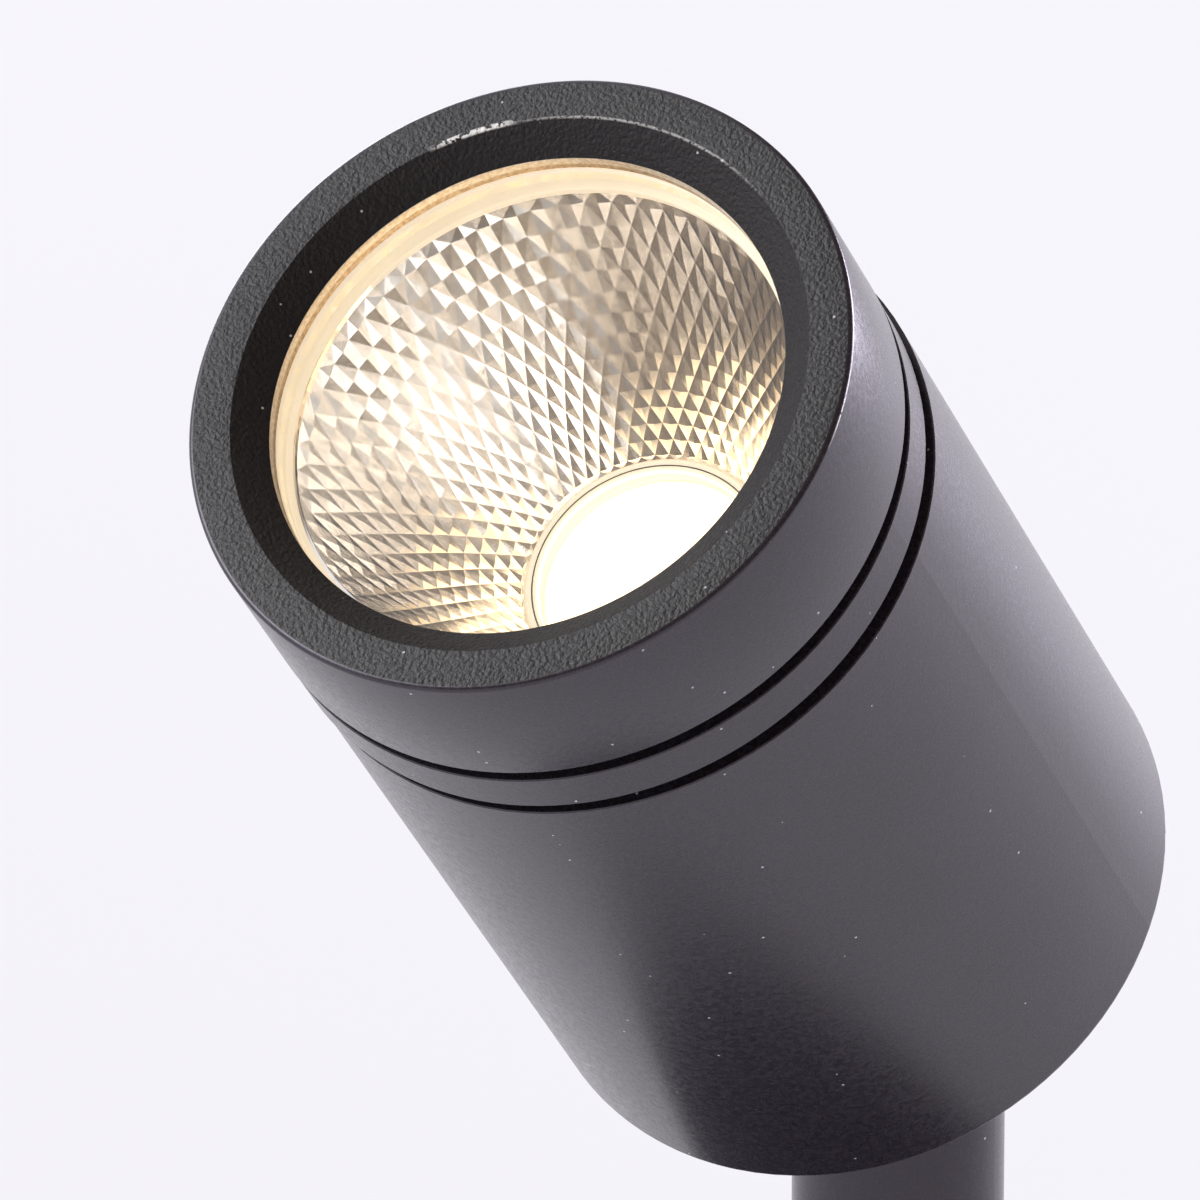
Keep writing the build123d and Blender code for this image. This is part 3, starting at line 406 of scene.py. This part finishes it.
# The driver is a green circuit board with a taped transformer, a shrink-sleeved
# capacitor and two moulded chips. Two silicone wires lead from it to the light board.
circuit_green = moulded("circuit_green", (0.015, 0.15, 0.06), (0.03, 0.24, 0.11), 0.35)
winding_tape = moulded("winding_tape", (0.74, 0.56, 0.06), (0.88, 0.72, 0.14), 0.30)
shrink_sleeve = moulded("capacitor_sleeve", (0.03, 0.05, 0.15), (0.06, 0.09, 0.24), 0.25)
chip_black = moulded("chip_black", (0.015, 0.015, 0.016), (0.035, 0.035, 0.036), 0.55)
finish(circuit_green, "driver_circuit")
finish(winding_tape, "driver_transformer")
finish(shrink_sleeve, "driver_capacitor")
finish(chip_black, "driver_chips")
finish(rubber("red_wire", (0.48, 0.02, 0.02), (0.62, 0.05, 0.04)), "led_lead_positive")
finish(rubber("black_wire", (0.015, 0.015, 0.015), (0.04, 0.04, 0.04)), "led_lead_negative")

# The heat spreader is a thick turned aluminium plate on the barrel's shoulder, held by
# a spring steel ring. A soft grey pad carries the light board's heat into it.
turned_aluminium = plated(
    "turned_aluminium", (0.58, 0.59, 0.60), (0.74, 0.75, 0.76), roughness=0.30
)
finish(turned_aluminium, "heat_spreader")
finish(spring_steel, "spreader_retainer")
finish(rubber("thermal_pad", (0.36, 0.38, 0.41), (0.48, 0.50, 0.53)), "thermal_pad")

# The light board is aluminium with a white mask. A white plastic holder clamps it with
# two cross-head screws and is the seat for the reflector's throat.
finish(moulded("white_mask", (0.76, 0.77, 0.76), (0.86, 0.87, 0.86), 0.35), "led_board")
finish(white_plastic, "led_holder")
finish(zinc, "holder_screws")

# The emitter is a round field of chips under yellow phosphor gel, inside a low dam. It
# is switched on, and shines warm white.
LED_LIGHT = (1.0, 0.79, 0.53)
LED_POWER = 2.5
GEL_GRAIN = 1200
phosphor, tree, shader = surface("lit_phosphor", roughness=0.35)
gel = blended(tree, grain(tree, GEL_GRAIN), (0.92, 0.70, 0.28), (1.0, 0.84, 0.44))
link(tree, gel, shader.inputs["Base Color"])
shader.inputs["Emission Color"].default_value = (*LED_LIGHT, 1)
shader.inputs["Emission Strength"].default_value = LED_POWER
finish(phosphor, "led_emitter")

# The reflector is thin aluminium, spun and pressed to a parabola, with a bright vacuum
# coat. Its wall is cut into rows of tall diamonds, each a low four-sided pyramid, and
# every row is set half a diamond round from the one before.
SLANT = math.sqrt(0.5)
HEAD_AXES = Matrix(((1, 0, 0), (0, SLANT, -SLANT), (0, SLANT, SLANT)))
PIVOT = Vector((0, 0, 95 * mm))
FRONT_REACH = 111.6
MOUTH_DEPTH = 8.0
MOUTH_RADIUS = 23.5
MOUTH_MARGIN = 0.4
THROAT_DEPTH = 36.5
THROAT_RADIUS = 11.6
THROAT_MARGIN = 0.3
DIAMONDS = 56
DIAMOND_HALF = 0.125
DIAMOND_RISE = 0.009
DIAMOND_TURN = 95.5
DIAMOND_START = 16.96
DIAMOND_EDGE = 3
FLANGE_DEPTH = 7.4
FLANGE_BACK = 8.4
FLANGE_RADIUS = 28.0
REFLECTOR_WALL = 1.0
BACK_STEPS = 16
MIRROR_DARK = (0.85, 0.79, 0.72)
MIRROR_LIGHT = (0.89, 0.84, 0.78)
MIRROR_HAZE = (0.11, 0.15)
HAZE_GRAIN = 700


def in_head(x, y, depth):
    """A point of the head in metres, from sideways, upward and depth places in mm."""
    return PIVOT + HEAD_AXES @ Vector((x, y, FRONT_REACH - depth)) * mm


def wall_radius(depth):
    """The parabola's radius, whose square falls evenly with depth."""
    share = (depth - MOUTH_DEPTH) / (THROAT_DEPTH - MOUTH_DEPTH)
    return math.sqrt(MOUTH_RADIUS**2 + (THROAT_RADIUS**2 - MOUTH_RADIUS**2) * share)


def wall_lean(depth):
    """How much the wall's radius falls for each millimetre of depth."""
    fall = (MOUTH_RADIUS**2 - THROAT_RADIUS**2) / (THROAT_DEPTH - MOUTH_DEPTH)
    return fall / (2 * wall_radius(depth))


def next_row(depth, way):
    """The depth of the next row of diamonds, towards the throat or the mouth."""
    return depth + way * DIAMOND_HALF * wall_radius(depth) / math.hypot(1, wall_lean(depth))


def as_object(name, mesh, *materials):
    """A new piece from a finished mesh."""
    data = bpy.data.meshes.new(name)
    mesh.to_mesh(data)
    mesh.free()
    for material in materials:
        data.materials.append(material)
    piece = bpy.data.objects.new(name, data)
    scene.collection.objects.link(piece)
    return piece


def eased_shading(mesh, limit):
    """Smooth shading that breaks at edges sharper than the limit."""
    mesh.normal_update()
    for face in mesh.faces:
        face.smooth = True
    for edge in mesh.edges:
        edge.smooth = edge.calc_face_angle(0) < math.radians(limit)


def hoop(mesh, radius, depth, steps, first_turn=0.0, centre=(0, 0)):
    """A ring of points about the beam."""
    points = []
    for step in range(steps):
        turn = first_turn + 2 * math.pi * step / steps
        x = centre[0] + radius * math.cos(turn)
        y = centre[1] + radius * math.sin(turn)
        points.append(mesh.verts.new(in_head(x, y, depth)))
    return points


def skin(mesh, hoops, closed=False):
    """Faces between rings of points, one ring after another."""
    for near, far in zip(hoops, hoops[1:] + hoops[:1] if closed else hoops[1:]):
        for step in range(len(near)):
            after = (step + 1) % len(near)
            mesh.faces.new((near[step], far[step], far[after], near[after]))


rows = [DIAMOND_START]
while next_row(rows[0], -1) > MOUTH_DEPTH + MOUTH_MARGIN:
    rows.insert(0, next_row(rows[0], -1))
start_row = len(rows)
while next_row(rows[-1], 1) < THROAT_DEPTH - THROAT_MARGIN:
    rows.append(next_row(rows[-1], 1))
rows = [MOUTH_DEPTH, *rows, THROAT_DEPTH]

mirror = bmesh.new()
first_turn = math.radians(DIAMOND_TURN)
grid = []
for row, depth in enumerate(rows):
    ring = []
    edge_row = row in (0, len(rows) - 1)
    for step in range(2 * DIAMONDS):
        turn = first_turn + step * math.pi / DIAMONDS
        peak = (step + row - start_row) % 2 == 0 and not edge_row
        radius = wall_radius(depth) * (1 - DIAMOND_RISE if peak else 1)
        point = in_head(radius * math.cos(turn), radius * math.sin(turn), depth)
        ring.append(mirror.verts.new(point))
    grid.append(ring)
for row in range(len(rows) - 1):
    for step in range(2 * DIAMONDS):
        after = (step + 1) % (2 * DIAMONDS)
        near, near_after = grid[row][step], grid[row][after]
        far, far_after = grid[row + 1][step], grid[row + 1][after]
        if (step + row - start_row) % 2 == 0:
            mirror.faces.new((near, far, near_after))
            mirror.faces.new((near_after, far, far_after))
        else:
            mirror.faces.new((near, far, far_after))
            mirror.faces.new((near, far_after, near_after))

back = []
for step in range(BACK_STEPS + 1):
    depth = THROAT_DEPTH - step * (THROAT_DEPTH - FLANGE_BACK) / BACK_STEPS
    back.append((wall_radius(depth) + REFLECTOR_WALL, depth))
back += [
    (FLANGE_RADIUS, FLANGE_BACK),
    (FLANGE_RADIUS, FLANGE_DEPTH),
    (MOUTH_RADIUS, FLANGE_DEPTH),
]
shell = [hoop(mirror, radius, depth, 2 * DIAMONDS, first_turn) for radius, depth in back]
skin(mirror, [grid[-1], *shell, grid[0]])
bmesh.ops.recalc_face_normals(mirror, faces=mirror.faces)
eased_shading(mirror, DIAMOND_EDGE)

bright, tree, shader = surface("bright_reflector", MIRROR_HAZE[1], metallic=1.0)
haze = grain(tree, HAZE_GRAIN, detail=3.0)
haze_tone = between(tree, haze, *NOISE_CORE, 0, 1)
link(tree, blended(tree, haze_tone, MIRROR_DARK, MIRROR_LIGHT), shader.inputs["Base Color"])
link(tree, between(tree, haze, *NOISE_SPAN, *MIRROR_HAZE), shader.inputs["Roughness"])
reflector = as_object("diamond_cut_reflector", mirror, bright)
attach(reflector, "head")
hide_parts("reflector")

# The glass seal is a translucent silicone ring of U section that wraps the edge of the
# pane. Fine ribs run round its inner lips. It has a painted glow: an emission of its own
# stands in for the lamp's light shining through it.
RING_PLAY = (-0.2251, -0.2413)
OPENING_RADIUS = 24.04
LIP_BACK = 3.9
PANE_FRONT = 4.6
PANE_BACK = 6.6
PANE_EDGE = 25.1
SEAL_RADIUS = 26.6
RING_STEPS = 192
RIB = 0.05
RIBS_BACK = 7.3
SKIRT_RADIUS = 23.40
SKIRT_OUTER = 23.46
SKIRT_ROOT = 7.42
SKIRT_BACK = 8.1
SILICONE_LIGHT = (1.0, 0.83, 0.60)
SILICONE_GRAIN = 500
SEAL_EDGE = 20
TURNED_EDGE = 30


def ribbed(radius, start, end, ribs):
    """A lip's face with small ribs round it, as radius and depth pairs."""
    points = []
    for step in range(2 * ribs + 1):
        depth = start + (end - start) * step / (2 * ribs)
        points.append((radius + (RIB if step % 2 else 0), depth))
    return points


def turned(name, profile, *materials, centre=RING_PLAY, limit=TURNED_EDGE):
    """A piece turned about the beam from a closed profile of radius and depth pairs."""
    mesh = bmesh.new()
    hoops = [hoop(mesh, *point, RING_STEPS, centre=centre) for point in profile]
    skin(mesh, hoops, closed=True)
    bmesh.ops.recalc_face_normals(mesh, faces=mesh.faces)
    eased_shading(mesh, limit)
    return as_object(name, mesh, *materials)


def silicone_with_painted_glow(name, glow):
    """Milky silicone with a painted glow: its own emission stands in for the emitter's light.
    """
    material, tree, shader = surface(name, roughness=0.32)
    milk = blended(tree, grain(tree, SILICONE_GRAIN), (0.88, 0.80, 0.66), (0.95, 0.90, 0.80))
    link(tree, milk, shader.inputs["Base Color"])
    shader.inputs["Subsurface Weight"].default_value = 0.35
    shader.inputs["Subsurface Radius"].default_value = (1.0, 0.8, 0.5)
    shader.inputs["Subsurface Scale"].default_value = 1.2 * mm
    shader.inputs["Emission Color"].default_value = (*SILICONE_LIGHT, 1)
    shader.inputs["Emission Strength"].default_value = glow
    return material


seal_section = [
    (SEAL_RADIUS, LIP_BACK),
    *ribbed(OPENING_RADIUS, LIP_BACK, PANE_FRONT, ribs=2),
    (PANE_EDGE, PANE_FRONT),
    (PANE_EDGE, PANE_BACK),
    *ribbed(OPENING_RADIUS, PANE_BACK, RIBS_BACK, ribs=3),
    (SKIRT_RADIUS, FLANGE_DEPTH),
    (SKIRT_RADIUS, SKIRT_BACK),
    (SKIRT_OUTER, SKIRT_BACK),
    (SKIRT_OUTER, SKIRT_ROOT),
    (SEAL_RADIUS, FLANGE_DEPTH),
]
silicone = silicone_with_painted_glow("clear_silicone", glow=0.52)
seal = turned("ribbed_glass_seal", seal_section, silicone, limit=SEAL_EDGE)
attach(seal, "head")
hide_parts("glass_seal")

# The cover glass is a plain round pane of clear toughened glass, held by the seal.
# Its faces are polished, and it has the faintest green cast.
pane, tree, shader = surface("clear_glass", roughness=0.0)
shader.inputs["Base Color"].default_value = (0.985, 0.992, 0.988, 1)
shader.inputs["Transmission Weight"].default_value = 1.0
shader.inputs["IOR"].default_value = 1.5
finish(pane, "cover_glass")

# Two grooves part the front ring from the barrel, with a loose spacer ring between
# them. Black rubber rings lie on the grooves' floors, so they look like dark lines.
finish(black_rubber, "front_groove_seal", "rear_groove_seal")
finish(coat, "spacer_ring")

# A low translucent dam lies on the holder round the emitter and closes the reflector's
# throat. It has a painted glow, an emission of its own standing in for the emitter's
# light, and one fine groove runs round it.
DAM_FRONT = 36.35
DAM_EASED_FRONT = 36.40
DAM_BACK = 36.95
DAM_INNER = 10.50
DAM_EASED_INNER = 10.60
DAM_GROOVE = 11.02
DAM_GROOVE_HALF = 0.08
DAM_GROOVE_DEPTH = 0.2
DAM_OUTER = 11.58


def radius_and_depth(point, centre=(0, 0)):
    """How far a point lies from the beam's line and from the head's front, in mm."""
    x, y, reach = HEAD_AXES.transposed() @ (point - PIVOT) / mm
    return math.hypot(x - centre[0], y - centre[1]), FRONT_REACH - reach


dam_section = [
    (DAM_OUTER, DAM_FRONT),
    (DAM_GROOVE + DAM_GROOVE_HALF, DAM_FRONT),
    (DAM_GROOVE, DAM_FRONT + DAM_GROOVE_DEPTH),
    (DAM_GROOVE - DAM_GROOVE_HALF, DAM_FRONT),
    (DAM_EASED_INNER, DAM_EASED_FRONT),
    (DAM_INNER, DAM_BACK),
    (DAM_OUTER, DAM_BACK),
]
dam_silicone = silicone_with_painted_glow("dam_silicone", glow=0.80)
groove_shade = rubber("groove_shade", (0.30, 0.24, 0.13), (0.42, 0.34, 0.20))
dam = turned("glowing_emitter_dam", dam_section, dam_silicone, groove_shade, centre=(0, 0))
# The groove's faces are coloured darker brown: painted shade in the groove.
for face in dam.data.polygons:
    radius, depth = radius_and_depth(face.center)
    if abs(radius - DAM_GROOVE) < DAM_GROOVE_HALF and depth < DAM_FRONT + DAM_GROOVE_DEPTH:
        face.material_index = 1
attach(dam, "head")

# The front ring is turned from aluminium and screwed on the barrel's neck. Its flat
# face and its bevel have a coarser sand coat, which is darker on the bevel as painted
# shade. The coat has flaked off along the bevel's edge and is scuffed through on one
# side of the outer edge, in white that is painted highlight as well as wear. The lip
# has no coat: its metal is painted warm gold and tan, painted light standing in for
# the emitter's light, and lighter towards the front as a painted shine.
RING_RADIUS = 30.97
RING_LENGTH = 15.4
NECK_BORE = 28.95
SEAL_BORE = 26.65
BEVEL_RADIUS = 27.0
BEVEL_DEPTH = 2.2
OUTER_EASE = 0.45
EDGE_EASE = 0.12
LIP_FRONT_EASE = 0.15
LIP_BACK_EASE = 0.1
EASE_STEPS = 5
# White for the flaked and scuffed places: exposed primer, and painted highlight as well.
WEAR_AND_HIGHLIGHT_WHITE = (0.93, 0.93, 0.91)
COARSE_GRAIN = 2500
COARSE_RELIEF = 0.24 * mm
FACE_LIGHT = (0.056, 0.055, 0.056)
BEVEL_SHADED_LIGHT = (0.028, 0.025, 0.024)
# The flakes and scuffs lie where the edges catch highlights, so they are painted highlights as
# well as wear.
CHIP_AND_HIGHLIGHT_TURNS = (111, 126)
CHIP_RADII = (26.88, 27.38)
CHIP_GRAIN = 1500
CHIP_SOFT = 0.06
FLAKE_SOFT = 0.04
RUB_AND_HIGHLIGHT_TURNS = (60, 107)
RUB_RADII = (26.93, 27.14)
RUB_GRAIN = 3200
RUB_SHARE = 0.45
EDGE_WEAR_AND_HIGHLIGHT_TURNS = (-1, 10)
EDGE_RADII = (30.55, 31.2)
EDGE_DEPTHS = (0.30, 0.62)
EDGE_SOFT = 0.05
EDGE_GRAIN = 900
LIP_SHINE_END = (3.03, 3.27)
LIP_GRAIN = 2600
LIP_RELIEF = 0.01 * mm


def eased(corners):
    """A closed profile whose corners are rounded by the radius given with each."""
    points = []
    for index, (radius, depth, ease) in enumerate(corners):
        corner = Vector((radius, depth))
        if not ease:
            points.append(tuple(corner))
            continue
        back = (Vector(corners[index - 1][:2]) - corner).normalized()
        ahead = (Vector(corners[(index + 1) % len(corners)][:2]) - corner).normalized()
        half = back.angle(ahead) / 2
        centre = corner + (back + ahead).normalized() * ease / math.sin(half)
        start = corner + back * ease / math.tan(half) - centre
        sweep = start.angle_signed(corner + ahead * ease / math.tan(half) - centre)
        for step in range(EASE_STEPS + 1):
            turn = -sweep * step / EASE_STEPS
            c, s = math.cos(turn), math.sin(turn)
            across = centre.x + c * start.x - s * start.y
            along = centre.y + s * start.x + c * start.y
            points.append((across, along))
    return points


def head_place(tree):
    """The turn about the ring's middle in degrees, and the radius and depth in mm."""
    away = tree.nodes.new("ShaderNodeVectorMath")
    away.operation = "SUBTRACT"
    link(tree, tree.nodes.new("ShaderNodeTexCoord").outputs["Object"], away.inputs[0])
    away.inputs[1].default_value = in_head(*RING_PLAY, 0)
    along = []
    for axis in HEAD_AXES.transposed():
        part = tree.nodes.new("ShaderNodeVectorMath")
        part.operation = "DOT_PRODUCT"
        link(tree, away.outputs[0], part.inputs[0])
        part.inputs[1].default_value = axis / mm
        along.append(part.outputs["Value"])
    turn = worked(tree, "DEGREES", worked(tree, "ARCTAN2", along[1], along[0]))
    squares = [worked(tree, "POWER", side, 2.0) for side in along[:2]]
    radius = worked(tree, "SQRT", worked(tree, "ADD", *squares))
    return turn, radius, worked(tree, "MULTIPLY", along[2], -1.0)


def window(tree, value, low, high, soft):
    """One between two values, and nought outside them."""
    rise = between(tree, value, low - soft, low + soft, 0, 1)
    fall = between(tree, value, high - soft, high + soft, 1, 0)
    return worked(tree, "MULTIPLY", rise, fall)


def chips_and_highlights(tree, turns, radii, noise, keep, soft_turn):
    """Ragged flakes within a range of turns and radii on the ring: wear, and painted highlights
    as well.
    """
    turn, radius = head_place(tree)[:2]
    turned_far = window(tree, turn, *turns, soft_turn)
    zone = worked(tree, "MULTIPLY", turned_far, window(tree, radius, *radii, CHIP_SOFT))
    flaked = between(tree, noise, keep, keep + FLAKE_SOFT, 0, 1)
    return worked(tree, "MULTIPLY", zone, flaked)


def coat_with_chips_and_highlights(name, roughness, light, gloss):
    """Coarse coat that has come off in places along the bevel's outer edge, in white that is
    also a painted highlight.
    """
    plain = (1, 1, 1)
    material, tree, shader, colour = powder_coat(
        name, COARSE_RELIEF, roughness, COARSE_GRAIN, light, gloss, plain
    )
    flake = grain(tree, CHIP_GRAIN)
    fine_flake = grain(tree, RUB_GRAIN)
    chip_and_highlight_mask = chips_and_highlights(tree, CHIP_AND_HIGHLIGHT_TURNS, CHIP_RADII, flake, keep=0.43, soft_turn=2.0)
    rub_and_highlight_mask = chips_and_highlights(tree, RUB_AND_HIGHLIGHT_TURNS, RUB_RADII, fine_flake, keep=0.42, soft_turn=8.0)
    wear_and_highlight_mask = worked(tree, "MAXIMUM", chip_and_highlight_mask, worked(tree, "MULTIPLY", rub_and_highlight_mask, RUB_SHARE))
    link(tree, blended(tree, wear_and_highlight_mask, colour, WEAR_AND_HIGHLIGHT_WHITE), shader.inputs["Base Color"])
    return material


face_coat = coat_with_chips_and_highlights("coarse_sand_coat", 0.38, FACE_LIGHT, gloss=1.48)
# The bevel's coat is a darker copy of the face's coat: painted shade in the recessed bevel.
shaded_bevel_coat = coat_with_chips_and_highlights("bevel_sand_coat_painted_shade", 0.50, BEVEL_SHADED_LIGHT, gloss=1.32)

# The outer edge's scuffed strip is white: wear and painted highlight both.
edge_coat_with_highlight, tree, shader, colour = powder_coat("rubbed_and_highlit_edge_coat")
flake = grain(tree, EDGE_GRAIN)
bare_and_highlight_mask = chips_and_highlights(tree, EDGE_WEAR_AND_HIGHLIGHT_TURNS, EDGE_RADII, flake, keep=0.36, soft_turn=3.0)
at_edge = window(tree, head_place(tree)[2], *EDGE_DEPTHS, EDGE_SOFT)
bare_and_highlight_mask = worked(tree, "MULTIPLY", bare_and_highlight_mask, at_edge)
link(tree, blended(tree, bare_and_highlight_mask, colour, WEAR_AND_HIGHLIGHT_WHITE), shader.inputs["Base Color"])

# The lip is bare metal painted warm gold and tan: painted light standing in for the emitter's
# light on it, lighter towards the front as a painted shine.
lip_metal_painted_glow, tree, shader = surface("bare_lip_painted_glow", roughness=0.42, metallic=0.75)
speckle = between(tree, grain(tree, LIP_GRAIN, detail=3.0), *NOISE_CORE, 0, 1)
shine = blended(tree, speckle, (0.80, 0.68, 0.52), (0.98, 0.92, 0.82))
tan = blended(tree, speckle, (0.46, 0.34, 0.22), (0.74, 0.58, 0.42))
lip_side = between(tree, head_place(tree)[2], *LIP_SHINE_END, 0, 1)
link(tree, blended(tree, lip_side, shine, tan), shader.inputs["Base Color"])
raised(tree, shader, speckle, LIP_RELIEF)

ring_section = eased([
    (BEVEL_RADIUS, 0, EDGE_EASE),
    (RING_RADIUS, 0, OUTER_EASE),
    (RING_RADIUS, RING_LENGTH, EDGE_EASE),
    (NECK_BORE, RING_LENGTH, 0),
    (NECK_BORE, FLANGE_DEPTH, 0),
    (SEAL_BORE, FLANGE_DEPTH, 0),
    (SEAL_BORE, LIP_BACK, 0),
    (OPENING_RADIUS, LIP_BACK, LIP_BACK_EASE),
    (OPENING_RADIUS, BEVEL_DEPTH, LIP_FRONT_EASE),
])
ring_finishes = (coat, face_coat, lip_metal_painted_glow, edge_coat_with_highlight, shaded_bevel_coat)
front_ring = turned("sand_coated_front_ring", ring_section, *ring_finishes)
for face in front_ring.data.polygons:
    radius, depth = radius_and_depth(face.center, RING_PLAY)
    if depth < BEVEL_DEPTH and radius < RING_RADIUS - OUTER_EASE:
        face_finish = face_coat if radius > BEVEL_RADIUS else shaded_bevel_coat
    elif depth < LIP_BACK and radius < OPENING_RADIUS + LIP_BACK_EASE:
        face_finish = lip_metal_painted_glow
    elif depth < 2 * OUTER_EASE:
        face_finish = edge_coat_with_highlight
    else:
        face_finish = coat
    face.material_index = ring_finishes.index(face_finish)
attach(front_ring, "head")
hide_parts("front_ring")
